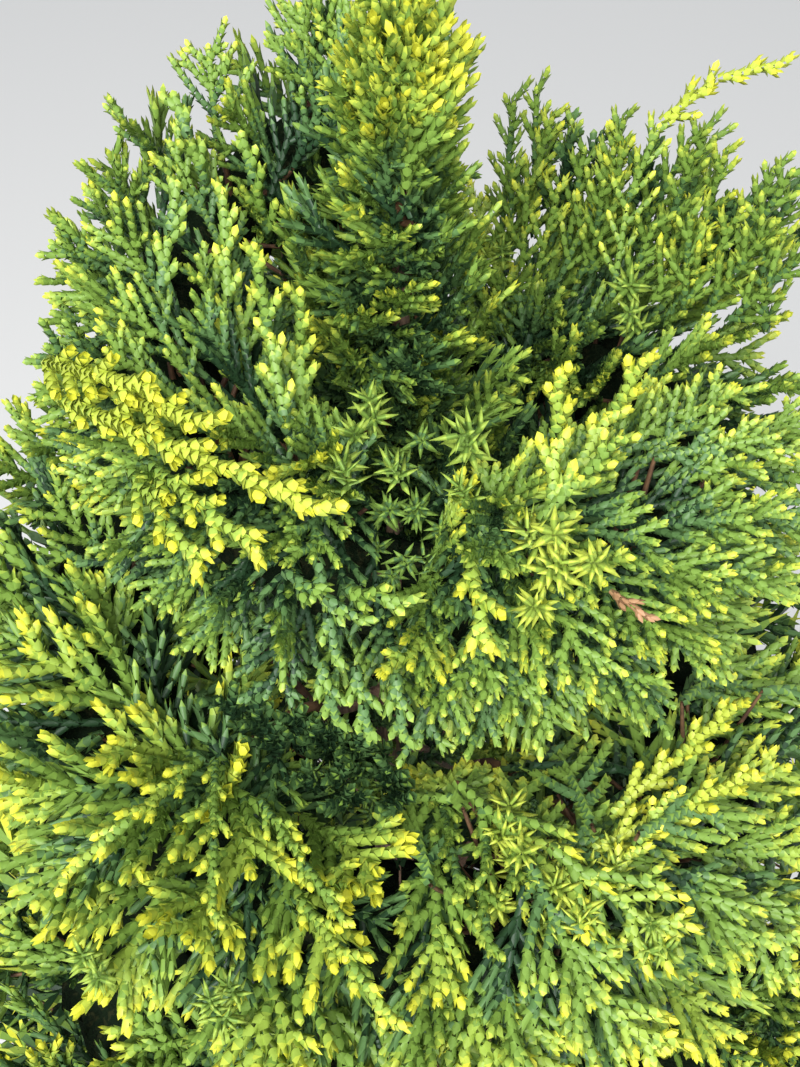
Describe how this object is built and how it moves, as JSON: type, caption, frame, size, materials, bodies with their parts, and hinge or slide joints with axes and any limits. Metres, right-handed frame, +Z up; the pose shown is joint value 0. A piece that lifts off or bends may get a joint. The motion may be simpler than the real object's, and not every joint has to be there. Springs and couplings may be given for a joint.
{
  "type": "spiral topiary",
  "caption": "Potted juniper clipped into a spiral: one leafy band winds down round a slim bare trunk, with an upright plume on top, in a round tapered nursery pot of compost.",
  "frame": {"origin": "centre of the pot's flat underside", "axes": "+Z up along the trunk, -Y towards the side that the picture shows, +X to its right"},
  "size_m": [0.3314, 0.3278, 0.8116],
  "materials": {
    "foliage": "satin",
    "bark": "matte",
    "compost": "matte",
    "pot": "satin"
  },
  "bodies": {
    "root": {"bough_turn2_back_left": "bark", "bough_turn2_back_right": "bark", "bough_turn2_front_left": "bark", "bough_turn2_front_right": "bark", "bough_turn3_back_left": "bark", "bough_turn3_back_right": "bark", "bough_turn3_front_left": "bark", "bough_turn3_front_right": "bark", "bough_turn4_back_left": "bark", "bough_turn4_back_right": "bark", "bough_turn4_front_left": "bark", "bough_turn4_front_right": "bark", "bough_turn5_back_left": "bark", "compost": "compost", "foliage_plume": "foliage", "foliage_turn1_back_left": "foliage", "foliage_turn1_back_right": "foliage", "foliage_turn1_front_left": "foliage", "foliage_turn1_front_right": "foliage", "foliage_turn2_back_left": "foliage", "foliage_turn2_back_right": "foliage", "foliage_turn2_front_left": "foliage", "foliage_turn2_front_right": "foliage", "foliage_turn3_back_left": "foliage", "foliage_turn3_back_right": "foliage", "foliage_turn3_front_left": "foliage", "foliage_turn3_front_right": "foliage", "foliage_turn4_back_left": "foliage", "foliage_turn4_back_right": "foliage", "foliage_turn4_front_left": "foliage", "foliage_turn4_front_right": "foliage", "foliage_turn5_back_left": "foliage", "pot": "pot", "trunk": "bark"}
  },
  "joints": []
}
